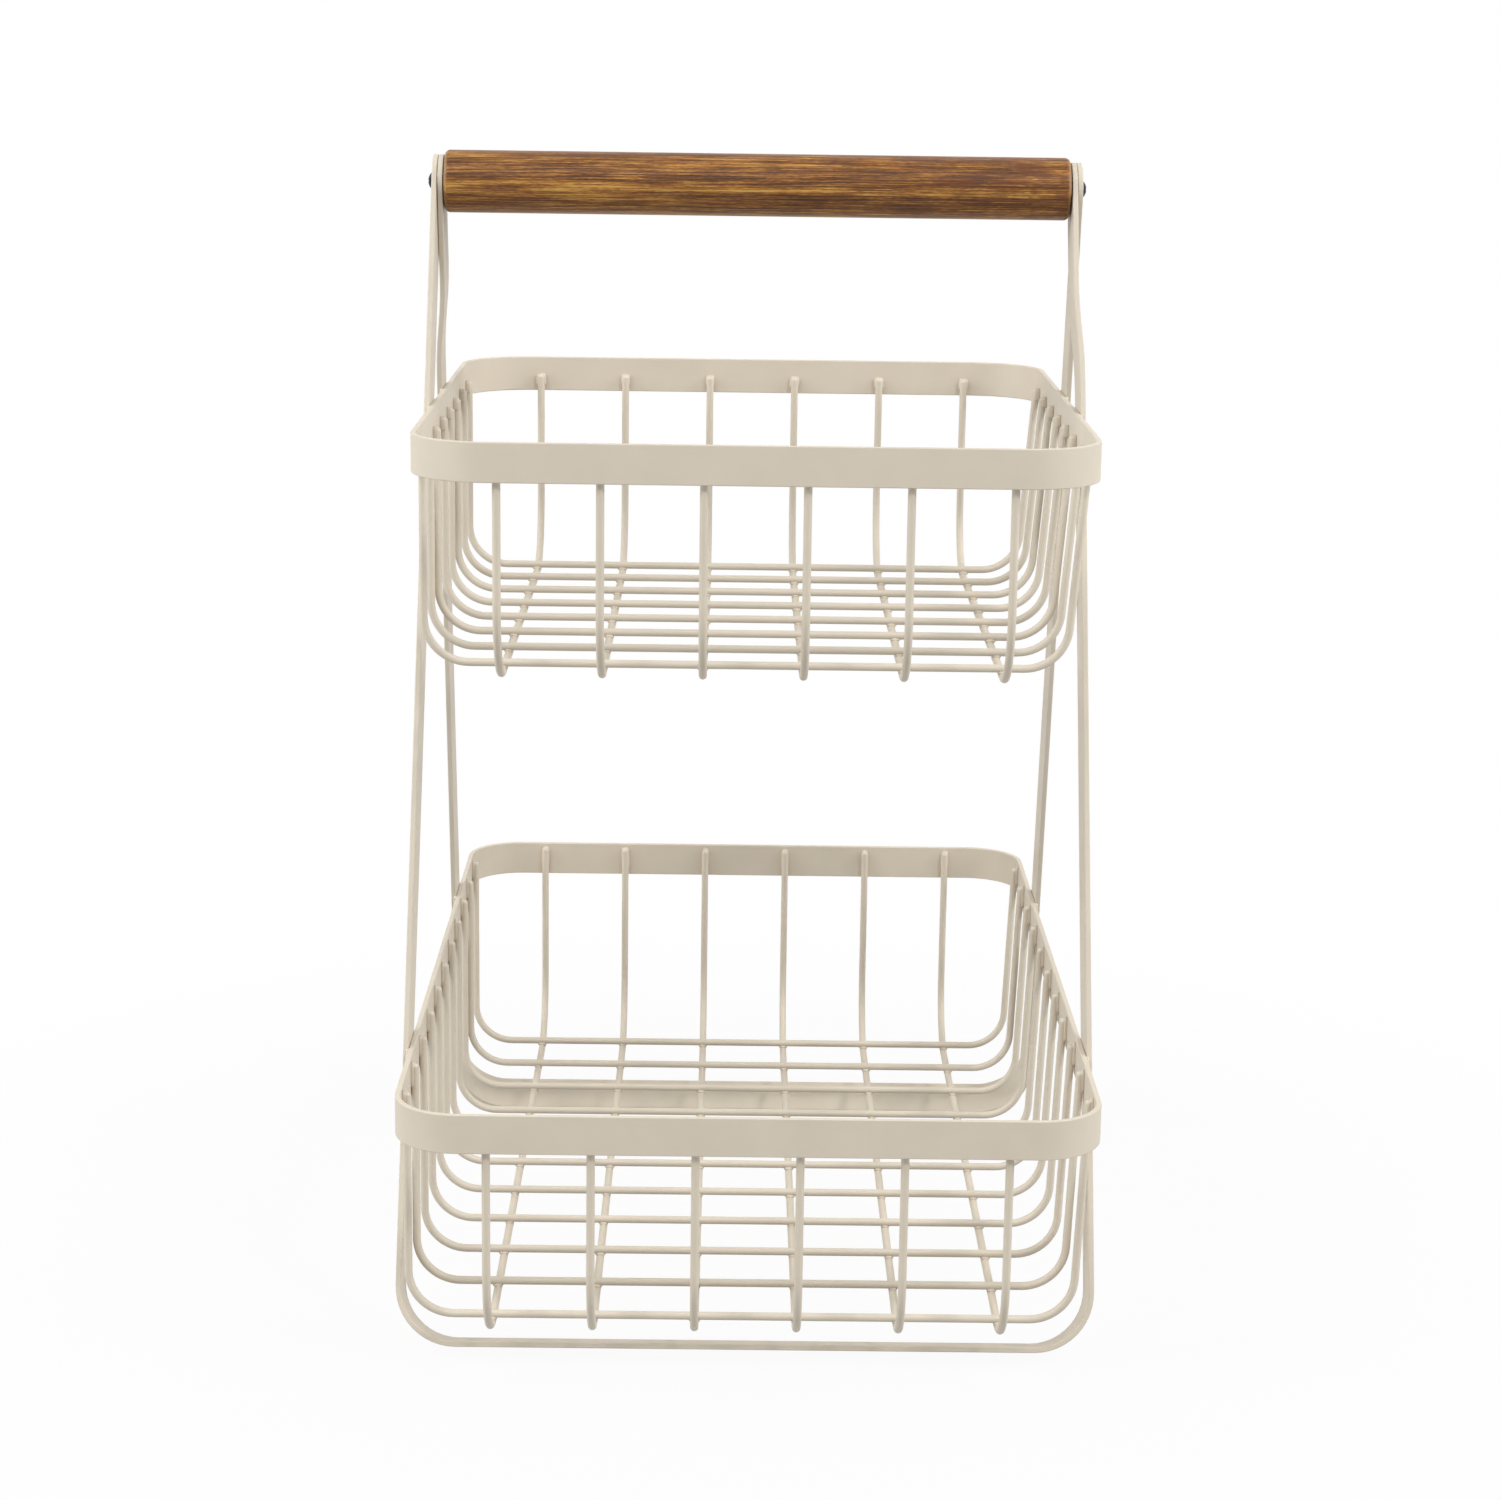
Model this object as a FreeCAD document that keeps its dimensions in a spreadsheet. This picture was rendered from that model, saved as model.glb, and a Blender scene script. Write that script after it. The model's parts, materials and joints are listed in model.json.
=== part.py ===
import FreeCAD, Part
import math
import os

import Sketcher
from FreeCAD import Placement, Rotation, Vector

# A two-tier wire basket: two bent strap hoops carry an upper and a lower basket of welded
# wire and meet at a round bamboo grip that turns on a screw at each end.
# Lengths are in millimetres. X runs to the right, Y to the back and Z up, and the origin
# lies on the ground below the middle of the grip.

LONG_WIRES = 6
UPPER_CROSS_WIRES = 8
LOWER_CROSS_WIRES = 11

# Sizes that can be set by themselves
SIZES = (
    ("lower_width", 254.0, "outside width of the lower rim, left to right"),
    ("rim_taper", 5.0, "how much narrower the upper rim is than the lower one"),
    ("lower_length", 386.0, "outside length of the lower rim, front to back"),
    ("upper_length", 286.0, "outside length of the upper rim, front to back"),
    ("lower_corner", 24.0, "outside corner radius of the lower rim"),
    ("upper_corner", 29.5, "outside corner radius of the upper rim"),
    ("rim_height", 14.5, "height of the rim bands"),
    ("rim_thick", 2.0, "thickness of the rim bands"),
    ("foot_gap", 10.7, "clear height between the feet and the lower floor wires"),
    ("lower_drop", 90.3, "lower rim's top to the centre line of its long wires on the floor"),
    ("tier_rise", 231.6, "lower rim's top to the upper rim's top"),
    ("upper_drop", 88.9, "upper rim's top to the centre line of its long wires on the floor"),
    ("handle_rise", 82.7, "upper rim's top to the axis of the grip"),
    ("hoop_tilt", 18.8, "lean of each hoop from upright, in degrees"),
    ("strap_width", 20.5, "width of the hoops' flat strap"),
    ("strap_thick", 2.0, "thickness of the hoops' flat strap"),
    ("hoop_corner", 20.5, "inside radius of the hoops' two bottom bends"),
    ("edge_round", 0.4, "rounding of the strap and rim edges under the coating"),
    ("tab_spare", 7.5, "flat strap left below the crossing of the two hoops"),
    ("tab_offcut", 3.0, "strap cut away above the half-round tabs"),
    ("weld_room", 6.0, "straight strap left above the weld on the upper rim"),
    ("tab_gap", 0.15, "gap between the two straps at each end of the grip"),
    ("weld_gap", 0.05, "gap left at each weld"),
    ("wire_diameter", 3.0, "diameter of the basket wires"),
    ("wire_tip_round", 1.2, "rounding of the wire ends"),
    ("long_bend", 30.0, "centre line radius where the long wires turn up"),
    ("cross_bend", 16.5, "centre line radius where the cross wires turn up"),
    ("upper_lean", 4.8, "how far the upper cross wires lean in at their right bends"),
    ("lower_lean", 2.8, "how far the lower cross wires lean in at their right bends"),
    ("upper_long_inset", 32.5, "upper rim's outer side to the first long wire"),
    ("lower_long_inset", 34.0, "lower rim's outer side to the first long wire"),
    ("upper_cross_inset", 35.1, "upper rim's outer front to the first cross wire"),
    ("lower_cross_inset", 30.5, "lower rim's outer front to the first cross wire"),
    ("upper_tip_inset", 7.5, "upper rim's top to the wire ends welded inside it"),
    ("lower_tip_inset", 2.0, "lower rim's top to the wire ends welded inside it"),
    ("grip_diameter", 24.0, "diameter of the bamboo grip"),
    ("grip_round", 2.0, "rounding of the grip's ends"),
    ("turning_gap", 0.3, "gap beside the straps at the grip's ends and under the screw heads"),
    ("screw_diameter", 3.5, "diameter of the screws' shanks"),
    ("running_gap", 0.08, "radial clearance of the screws in the straps"),
    ("pilot_gap", 0.05, "radial clearance of the screws in the grip"),
    ("screw_bite", 20.0, "length of each screw inside the grip"),
    ("pilot_spare", 1.0, "pilot hole left beyond the screw's point"),
    ("screw_point", 4.0, "length of the screws' points"),
    ("head_diameter", 6.4, "diameter of the screw heads"),
    ("head_height", 1.8, "height of the domed screw heads"),
    ("head_edge", 0.5, "height of the screw heads at their edge"),
    ("recess_length", 3.4, "length of the cross recess in the screw heads"),
    ("recess_width", 0.8, "width of the cross recess in the screw heads"),
    ("recess_depth", 1.0, "depth of the cross recess in the screw heads"),
)

# Sizes that follow from the ones above
DERIVED = (
    ("upper_width", "lower_width - rim_taper"),
    ("flat_width", "strap_width - 2 * edge_round"),
    ("flat_thick", "strap_thick - 2 * edge_round"),
    ("foot_height", "flat_width * sin(hoop_tilt) + flat_thick * cos(hoop_tilt) + 2 * edge_round"),
    ("lower_floor", "foot_height + foot_gap + wire_diameter / 2"),
    ("lower_rim_top", "lower_floor + lower_drop"),
    ("upper_rim_top", "lower_rim_top + tier_rise"),
    ("upper_floor", "upper_rim_top - upper_drop"),
    ("handle_height", "upper_rim_top + handle_rise"),
    ("edge_centre", "handle_height - flat_width / 2 * sin(hoop_tilt) - edge_round"),
    ("hoop_depth", "edge_centre / cos(hoop_tilt) - flat_thick / 2"),
    ("hoop_bend", "hoop_corner + strap_thick / 2"),
    ("tab_reach", "strap_width / 2"),
    ("strap_end", "tab_reach + tab_offcut"),
    ("tab_flat", "tab_reach / tan(hoop_tilt) + tab_spare"),
    ("upper_reach", "handle_rise / cos(hoop_tilt) - tab_reach * tan(hoop_tilt)"),
    ("lower_reach", "upper_reach + tier_rise / cos(hoop_tilt)"),
    ("step_end", "upper_reach - weld_room"),
    ("leg_slope", "rim_taper / 2 / (lower_reach - upper_reach)"),
    ("leg_stretch", "sqrt(1 + leg_slope^2)"),
    ("half_strap", "strap_thick / 2 * leg_stretch"),
    ("weld_span", "rim_height / cos(hoop_tilt) + strap_width * tan(hoop_tilt)"),
    ("weld_shift", "max(0; -leg_slope) * weld_span - upper_reach * leg_slope"),
    ("outer_tab", "upper_width / 2 + weld_gap + half_strap + weld_shift"),
    ("inner_tab", "outer_tab - (strap_thick + tab_gap) * leg_stretch"),
    ("outer_top", "outer_tab - strap_end * leg_slope"),
    ("inner_top", "inner_tab - strap_end * leg_slope"),
    ("tab_lean", "grip_diameter / 2 * abs(leg_slope)"),
    ("leg_top", "outer_tab + step_end * leg_slope"),
    ("bend_centre", "outer_tab + (hoop_depth - hoop_bend) * leg_slope - hoop_bend * leg_stretch"),
    ("weld_inset", "rim_thick + weld_gap + wire_diameter / 2"),
    ("wire_stack", "wire_diameter + weld_gap"),
    ("grip_length", "2 * (inner_tab - tab_lean - half_strap - turning_gap)"),
    ("grip_radius", "grip_diameter / 2"),
    ("screw_radius", "screw_diameter / 2"),
    ("head_seat", "outer_tab + half_strap + head_diameter / 2 * abs(leg_slope) + turning_gap"),
    ("screw_length", "head_seat - grip_length / 2 + screw_bite"),
    ("pilot_depth", "screw_bite + pilot_spare"),
)

# Positions in a sketch: its origin, its two axes, and the ends and centre of a piece
ORIGIN, ACROSS, UPRIGHT = (-1, -1, -2)
START, END, CENTRE = (1, 2, 3)
TOUCH = 1e-6

doc = FreeCAD.newDocument("tiered_wire_basket")
sheet = doc.addObject("Spreadsheet::Sheet", "Sizes")
for row, (alias, number, meaning) in enumerate(SIZES, start=1):
    sheet.set(f"A{row}", meaning)
    sheet.set(f"B{row}", str(number))
    sheet.setAlias(f"B{row}", alias)
for row, (alias, formula) in enumerate(DERIVED, start=len(SIZES) + 1):
    sheet.set(f"A{row}", alias.replace("_", " "))
    sheet.set(f"B{row}", "=" + formula)
    sheet.setAlias(f"B{row}", alias)
doc.recompute()
bodies = []


def amount(formula):
    """The number that a formula of the sheet gives."""
    return float(sheet.evalExpression(formula))


def require(true, words):
    """Stops the build when something isn't as it should be."""
    if not true:
        raise RuntimeError(words)


def new_body(label):
    """An empty sub-part."""
    body = doc.addObject("PartDesign::Body", label)
    body.Label = label
    bodies.append(body)
    return body


def new_sketch(body, role, name, lift=None):
    """A sketch on one of the sub-part's own planes, raised along its normal by a formula."""
    sketch = body.newObject("Sketcher::SketchObject", name)
    plane = next(p for p in body.Origin.OriginFeatures if p.Role == role)
    sketch.AttachmentSupport = [(plane, "")]
    sketch.MapMode = "FlatFace"
    if lift is not None:
        sketch.setExpression("AttachmentOffset.Base.z", lift)
    return sketch


def fix(sketch, kind, *where, by):
    """A dimension in a sketch, bound to a formula of the sheet."""
    place = sketch.addConstraint(Sketcher.Constraint(kind, *where, amount(by)))
    sketch.setExpression(f"Constraints[{place}]", by)


def fix_across(sketch, piece, point, by, side):
    """The distance of a point from the upright axis, to the right or to the left of it."""
    if side > 0:
        fix(sketch, "DistanceX", ORIGIN, START, piece, point, by=by)
    else:
        fix(sketch, "DistanceX", piece, point, ORIGIN, START, by=by)


def fix_up(sketch, piece, point, by):
    """The height of a point above the sketch's origin."""
    fix(sketch, "DistanceY", ORIGIN, START, piece, point, by=by)


def fix_down(sketch, piece, point, by):
    """The depth of a point below the sketch's origin."""
    fix(sketch, "DistanceY", piece, point, ORIGIN, START, by=by)


def line(start, end, side=1):
    """A straight piece of a sketch, mirrored to the left for side -1."""
    return Part.LineSegment(
        Vector(side * start[0], start[1], 0),
        Vector(side * end[0], end[1], 0),
    )


def arc(centre, radius, start, end, side=1):
    """A round piece of a sketch between two angles in degrees, mirrored to the left for side -1."""
    if side < 0:
        start, end = 180 - end, 180 - start
    whole = Part.Circle(Vector(side * centre[0], centre[1], 0), Vector(0, 0, 1), radius)
    return Part.ArcOfCircle(whole, math.radians(start), math.radians(end))


def chain(sketch, pieces, joint="Tangent", closed=False):
    """Adds pieces that follow each other and joins them end to end."""
    added = [sketch.addGeometry(piece) for piece in pieces]
    pairs = list(zip(added, added[1:]))
    if closed:
        pairs.append((added[-1], added[0]))
    for first, second in pairs:
        gaps = {
            (a, b): sketch.getPoint(first, a).distanceToPoint(sketch.getPoint(second, b))
            for a in (START, END)
            for b in (START, END)
        }
        a, b = min(gaps, key=gaps.get)
        sketch.addConstraint(Sketcher.Constraint(joint, first, a, second, b))
    return added


def keep_direction(sketch, kind, *pieces):
    """Makes straight pieces level or upright."""
    for piece in pieces:
        sketch.addConstraint(Sketcher.Constraint(kind, piece))


def rounded_rectangle(sketch, width, length, radius):
    """A rectangle with round corners about the origin: two formulas for its sides, one for its corners."""
    half_x = amount(width) / 2
    half_y = amount(length) / 2
    bend = amount(radius)
    flat_x = half_x - bend
    flat_y = half_y - bend
    back, back_left, left, front_left, front, front_right, right, back_right = chain(
        sketch,
        (
            line((flat_x, half_y), (-flat_x, half_y)),
            arc((-flat_x, flat_y), bend, 90, 180),
            line((-half_x, flat_y), (-half_x, -flat_y)),
            arc((-flat_x, -flat_y), bend, 180, 270),
            line((-flat_x, -half_y), (flat_x, -half_y)),
            arc((flat_x, -flat_y), bend, 270, 360),
            line((half_x, -flat_y), (half_x, flat_y)),
            arc((flat_x, flat_y), bend, 0, 90),
        ),
        closed=True,
    )
    keep_direction(sketch, "Horizontal", back, front)
    keep_direction(sketch, "Vertical", left, right)
    for other in (front_left, front_right, back_right):
        sketch.addConstraint(Sketcher.Constraint("Equal", back_left, other))
    fix(sketch, "Radius", back_left, by=radius)
    fix_across(sketch, right, START, f"({width}) / 2", 1)
    fix_across(sketch, left, START, f"({width}) / 2", -1)
    fix_up(sketch, back, START, f"({length}) / 2")
    fix_down(sketch, front, START, f"({length}) / 2")


def rectangle(sketch, corners):
    """Four straight sides through the corners (left, front), (right, back)."""
    (left, front), (right, back) = corners
    sides = chain(
        sketch,
        (
            line((left, front), (right, front)),
            line((right, front), (right, back)),
            line((right, back), (left, back)),
            line((left, back), (left, front)),
        ),
        joint="Coincident",
        closed=True,
    )
    keep_direction(sketch, "Horizontal", sides[0], sides[2])
    keep_direction(sketch, "Vertical", sides[1], sides[3])
    return sides


def circle(sketch, diameter):
    """A circle about the sketch's origin."""
    ring = sketch.addGeometry(Part.Circle(Vector(0, 0, 0), Vector(0, 0, 1), amount(diameter) / 2))
    sketch.addConstraint(Sketcher.Constraint("Coincident", ring, CENTRE, ORIGIN, START))
    fix(sketch, "Diameter", ring, by=diameter)


def pipe(body, profile, path, name):
    """Draws a level profile along a path that starts at it."""
    feature = body.newObject("PartDesign::AdditivePipe", name)
    feature.Profile = profile
    feature.Spine = path
    doc.recompute()
    section = profile.Shape.Wires[0]
    first = path.Shape.Edges[0]
    facing = abs(first.tangentAt(first.FirstParameter).z)
    expected = Part.Face(section).Area * facing * path.Shape.Length
    require(
        math.isclose(feature.Shape.Volume, expected, rel_tol=0.001),
        f"{body.Label} isn't as large as its section along its path",
    )
    return feature


def cut(body, sketch, name, midplane=False, depth=None):
    """Cuts a sketch into the sub-part, to a depth or right through it both ways."""
    doc.recompute()
    before = body.Shape.Volume
    feature = body.newObject("PartDesign::Pocket", name)
    feature.Profile = sketch
    feature.Midplane = midplane
    if depth is None:
        feature.Type = "ThroughAll"
    else:
        feature.Type = "Length"
        feature.setExpression("Length", depth)
    doc.recompute()
    require(body.Shape.Volume < before - TOUCH, f"{body.Label}: {name} cuts nothing")
    return feature


def round_edges(body, feature, chosen, radius, name):
    """Rounds the edges of a feature that a test picks."""
    names = [f"Edge{i}" for i, edge in enumerate(feature.Shape.Edges, start=1) if chosen(edge)]
    require(names, f"{body.Label} has no edge to round")
    fillet = body.newObject("PartDesign::Fillet", name)
    fillet.Base = (feature, names)
    fillet.setExpression("Radius", radius)
    return fillet


def is_level(edge):
    """Whether an edge lies in one horizontal plane."""
    return edge.BoundBox.ZLength < TOUCH


# Rims

def make_rim(tier):
    """A flat band bent to a closed ring with round corners."""
    width = f"Sizes.{tier}_width"
    length = f"Sizes.{tier}_length"
    corner = f"Sizes.{tier}_corner"
    body = new_body(f"{tier}_rim")
    outline = new_sketch(body, "XY_Plane", "Outline")
    rounded_rectangle(outline, width, length, corner)
    rounded_rectangle(
        outline,
        f"{width} - 2 * Sizes.rim_thick",
        f"{length} - 2 * Sizes.rim_thick",
        f"{corner} - Sizes.rim_thick",
    )
    band = body.newObject("PartDesign::Pad", "Band")
    band.Profile = outline
    band.setExpression("Length", "Sizes.rim_height")
    body.setExpression("Placement.Base.z", f"Sizes.{tier}_rim_top - Sizes.rim_height")
    doc.recompute()
    round_edges(body, band, is_level, "Sizes.edge_round", "BandEdges")


# Hoops

def leg_point(line_name, depth):
    """The place on a leg's or a tab's middle line at a depth below the axis of the grip."""
    return Vector(amount(f"Sizes.{line_name}") + depth * amount("Sizes.leg_slope"), -depth, 0)


def hoop_path(sketch, side):
    """The strap's middle line: one leg is straight up to its outer tab, on the right for side 1,
    and the other one steps inwards to its inner tab. Both spread a little towards the foot."""
    lean = math.atan(amount("Sizes.leg_slope"))
    down = Vector(math.sin(lean), -math.cos(lean), 0)
    outward = Vector(math.cos(lean), math.sin(lean), 0)
    tilt = math.degrees(lean)
    rise = amount("Sizes.strap_end")
    depth = amount("Sizes.hoop_depth")
    bend = amount("Sizes.hoop_bend")
    corner = Vector(amount("Sizes.bend_centre"), bend - depth, 0)
    leg_foot = corner + outward * bend
    run_end = corner - Vector(0, bend, 0)
    leg_top = leg_point("outer_tab", amount("Sizes.step_end"))
    tab_end = leg_point("inner_tab", amount("Sizes.tab_flat"))
    step = leg_top - tab_end
    sweep = step.Length**2 / (4 * step.dot(outward))
    turn = math.degrees(math.asin(step.dot(down) / 2 / sweep))
    outer_leg, outer_bend, run, inner_bend, inner_leg, lower_step, upper_step, inner_tab = chain(
        sketch,
        (
            line(leg_point("outer_tab", -rise), leg_foot, side),
            arc(corner, bend, 270, 360 + tilt, side),
            line(run_end, (-run_end.x, run_end.y), side),
            arc(corner, bend, 270, 360 + tilt, -side),
            line(leg_foot, leg_top, -side),
            arc(leg_top - outward * sweep, sweep, tilt, tilt + turn, -side),
            arc(tab_end + outward * sweep, sweep, 180 + tilt, 180 + tilt + turn, -side),
            line(tab_end, leg_point("inner_tab", -rise), -side),
        ),
    )
    keep_direction(sketch, "Horizontal", run)
    sketch.addConstraint(Sketcher.Constraint("Parallel", inner_leg, inner_tab))
    sketch.addConstraint(Sketcher.Constraint("Equal", upper_step, lower_step))
    sketch.addConstraint(Sketcher.Constraint("Equal", outer_bend, inner_bend))
    fix(sketch, "Radius", outer_bend, by="Sizes.hoop_bend")
    fix_across(sketch, outer_bend, CENTRE, "Sizes.bend_centre", side)
    fix_across(sketch, inner_bend, CENTRE, "Sizes.bend_centre", -side)
    fix_across(sketch, outer_leg, START, "Sizes.outer_top", side)
    fix_across(sketch, inner_leg, END, "Sizes.leg_top", -side)
    fix_across(sketch, inner_tab, END, "Sizes.inner_top", -side)
    fix_up(sketch, outer_leg, START, "Sizes.strap_end")
    fix_up(sketch, inner_tab, END, "Sizes.strap_end")
    fix_down(sketch, inner_tab, START, "Sizes.tab_flat")
    fix_down(sketch, inner_leg, END, "Sizes.step_end")
    fix_down(sketch, run, START, "Sizes.hoop_depth")


def strap_section(sketch, side):
    """The strap's cross section at the outer end."""
    half_thick = amount("Sizes.half_strap")
    half_width = amount("Sizes.strap_width") / 2
    middle = side * amount("Sizes.outer_top")
    front, right, back, left = rectangle(
        sketch,
        ((middle - half_thick, -half_width), (middle + half_thick, half_width)),
    )
    near, far = (left, right) if side > 0 else (right, left)
    fix_across(sketch, near, START, "Sizes.outer_top - Sizes.half_strap", side)
    fix_across(sketch, far, START, "Sizes.outer_top + Sizes.half_strap", side)
    fix_down(sketch, front, START, "Sizes.strap_width / 2")
    fix_up(sketch, back, START, "Sizes.strap_width / 2")


def tab_waste(sketch):
    """What is cut off above the axis to leave each tab a half round about its screw hole."""
    reach = amount("Sizes.tab_reach")
    clear = 2 * reach
    arch, right_ledge, right_side, over, left_side, left_ledge = chain(
        sketch,
        (
            arc((0, 0), reach, 0, 180),
            line((reach, 0), (clear, 0)),
            line((clear, 0), (clear, clear)),
            line((clear, clear), (-clear, clear)),
            line((-clear, clear), (-clear, 0)),
            line((-clear, 0), (-reach, 0)),
        ),
        joint="Coincident",
        closed=True,
    )
    keep_direction(sketch, "Horizontal", over)
    keep_direction(sketch, "Vertical", right_side, left_side)
    sketch.addConstraint(Sketcher.Constraint("Coincident", arch, CENTRE, ORIGIN, START))
    for ledge in (right_ledge, left_ledge):
        sketch.addConstraint(Sketcher.Constraint("PointOnObject", ledge, START, ACROSS))
        sketch.addConstraint(Sketcher.Constraint("PointOnObject", ledge, END, ACROSS))
    fix(sketch, "Radius", arch, by="Sizes.tab_reach")
    fix_across(sketch, right_side, START, "2 * Sizes.tab_reach", 1)
    fix_across(sketch, left_side, START, "2 * Sizes.tab_reach", -1)
    fix_up(sketch, over, START, "2 * Sizes.tab_reach")


def is_strap_edge(edge):
    """Whether an edge runs along the strap's outline in the hoop's side view."""
    reach = amount("Sizes.tab_reach")
    if edge.Length < amount("Sizes.strap_thick") + TOUCH:
        return False
    first, last = edge.ParameterRange
    for share in (0, 0.5, 1):
        point = edge.valueAt(first + share * (last - first))
        across = math.hypot(point.y, max(point.z, 0))
        if abs(across - reach) > TOUCH:
            return False
    return True


def make_hoop(label, side):
    """A strap bent to a U, leaning forwards with its outer tab on the left or back with it on the right."""
    body = new_body(label)
    path = new_sketch(body, "XZ_Plane", "Path")
    hoop_path(path, side)
    section = new_sketch(body, "XY_Plane", "Section", lift="Sizes.strap_end")
    strap_section(section, side)
    pipe(body, section, path, "Strap")
    waste = new_sketch(body, "YZ_Plane", "TabWaste")
    tab_waste(waste)
    cut(body, waste, "TabEnds", midplane=True)
    hole = new_sketch(body, "YZ_Plane", "Hole")
    circle(hole, "Sizes.screw_diameter + 2 * Sizes.running_gap")
    holes = cut(body, hole, "ScrewHoles", midplane=True)
    round_edges(body, holes, is_strap_edge, "Sizes.edge_round", "StrapEdges")
    body.Placement = Placement(
        Vector(0, 0, amount("Sizes.handle_height")),
        Rotation(Vector(side, 0, 0), amount("Sizes.hoop_tilt")),
    )
    body.setExpression("Placement.Base.z", "Sizes.handle_height")
    body.setExpression("Placement.Rotation.Angle", "Sizes.hoop_tilt")


# Wires

def wire_path(sketch, reach, tip, floor, bend, lean):
    """A U along the wire's middle: up one wall, over the floor and up the other wall, where its bend
    can stand further in than its end."""
    span = amount(reach)
    top = amount(tip)
    low = amount(floor)
    radius = amount(bend)
    right_centre = Vector(span - radius - amount(lean), low + radius, 0)
    rise = Vector(span, top, 0) - right_centre
    turn = math.atan2(rise.y, rise.x) - math.acos(radius / rise.Length)
    right_foot = right_centre + Vector(math.cos(turn), math.sin(turn), 0) * radius
    left, left_bend, run, right_bend, right = chain(
        sketch,
        (
            line((span, top), (span, low + radius), -1),
            arc((span - radius, low + radius), radius, 270, 360, -1),
            line((radius - span, low), (right_centre.x, low)),
            arc(right_centre, radius, 270, 360 + math.degrees(turn)),
            line(right_foot, (span, top)),
        ),
    )
    keep_direction(sketch, "Vertical", left)
    keep_direction(sketch, "Horizontal", run)
    sketch.addConstraint(Sketcher.Constraint("Equal", left_bend, right_bend))
    fix(sketch, "Radius", left_bend, by=bend)
    fix_across(sketch, right_bend, CENTRE, f"{reach} - ({bend}) - ({lean})", 1)
    fix_across(sketch, left, START, reach, -1)
    fix_across(sketch, right, END, reach, 1)
    fix_up(sketch, left, START, tip)
    fix_up(sketch, right, END, tip)
    fix_up(sketch, run, START, floor)


def make_wire(label, plane, reach, tip, floor, bend, lean="0"):
    """A round wire bent to a U in one of the upright planes, with rounded ends."""
    body = new_body(label)
    path = new_sketch(body, plane, "Path")
    wire_path(path, reach, tip, floor, bend, lean)
    section = new_sketch(body, "XY_Plane", "Section", lift=tip)
    ring_radius = amount("Sizes.wire_diameter") / 2
    along_x = plane == "XZ_Plane"
    start = Vector(-amount(reach), 0, 0) if along_x else Vector(0, -amount(reach), 0)
    ring = section.addGeometry(Part.Circle(start, Vector(0, 0, 1), ring_radius))
    fix(section, "Diameter", ring, by="Sizes.wire_diameter")
    axis = ACROSS if along_x else UPRIGHT
    section.addConstraint(Sketcher.Constraint("PointOnObject", ring, CENTRE, axis))
    distance = "DistanceX" if along_x else "DistanceY"
    fix(section, distance, ring, CENTRE, ORIGIN, START, by=reach)
    rod = pipe(body, section, path, "Rod")
    points = path.Shape.Wires[0].OrderedVertexes
    ends = (points[0].Point, points[-1].Point)
    round_edges(
        body,
        rod,
        lambda edge: any(edge.CenterOfMass.distanceToPoint(end) < TOUCH for end in ends),
        "Sizes.wire_tip_round",
        "Tips",
    )
    return body


def inside_rim(half_side, corner, offset, half_other):
    """How far a wire reaches inside a rim: up to its flat side, or to its round corner further out."""
    corner_start = f"({half_other}) - {corner}"
    past = f"max(0; abs({offset}) - ({corner_start}))"
    return f"({half_side}) - {corner} + sqrt(({corner} - Sizes.weld_inset)^2 - ({past})^2)"


def make_basket(tier, cross_wires):
    """The long wires of one basket, front to back, and the cross wires that lie on them."""
    length = f"Sizes.{tier}_length / 2"
    width = f"Sizes.{tier}_width / 2"
    corner = f"Sizes.{tier}_corner"
    floor = f"Sizes.{tier}_floor"
    tip = f"Sizes.{tier}_rim_top - Sizes.{tier}_tip_inset"
    for i in range(LONG_WIRES):
        share = 2 * i / (LONG_WIRES - 1) - 1
        offset = f"{share:.9g} * ({width} - Sizes.{tier}_long_inset)"
        reach = inside_rim(length, corner, offset, width)
        body = make_wire(f"{tier}_long_wire_{i + 1}", "YZ_Plane", reach, tip, floor, "Sizes.long_bend")
        body.setExpression("Placement.Base.x", offset)
    bend_start = f"({length} - Sizes.weld_inset - Sizes.long_bend)"
    for i in range(cross_wires):
        share = 2 * i / (cross_wires - 1) - 1
        offset = f"{share:.9g} * ({length} - Sizes.{tier}_cross_inset)"
        reach = inside_rim(width, corner, offset, length)
        past = f"max(0; abs({offset}) - {bend_start})"
        inner_bend = "(Sizes.long_bend - Sizes.wire_stack)"
        seat = f"{floor} + Sizes.long_bend - sqrt({inner_bend}^2 - ({past})^2)"
        lean = f"Sizes.{tier}_lean"
        body = make_wire(f"{tier}_cross_wire_{i + 1}", "XZ_Plane", reach, tip, seat, "Sizes.cross_bend", lean)
        body.setExpression("Placement.Base.y", offset)


# Grip and its screws

def is_end_of_rod(edge):
    """Whether an edge is the circle at an end of the grip."""
    return edge.BoundBox.XLength < TOUCH


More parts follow.
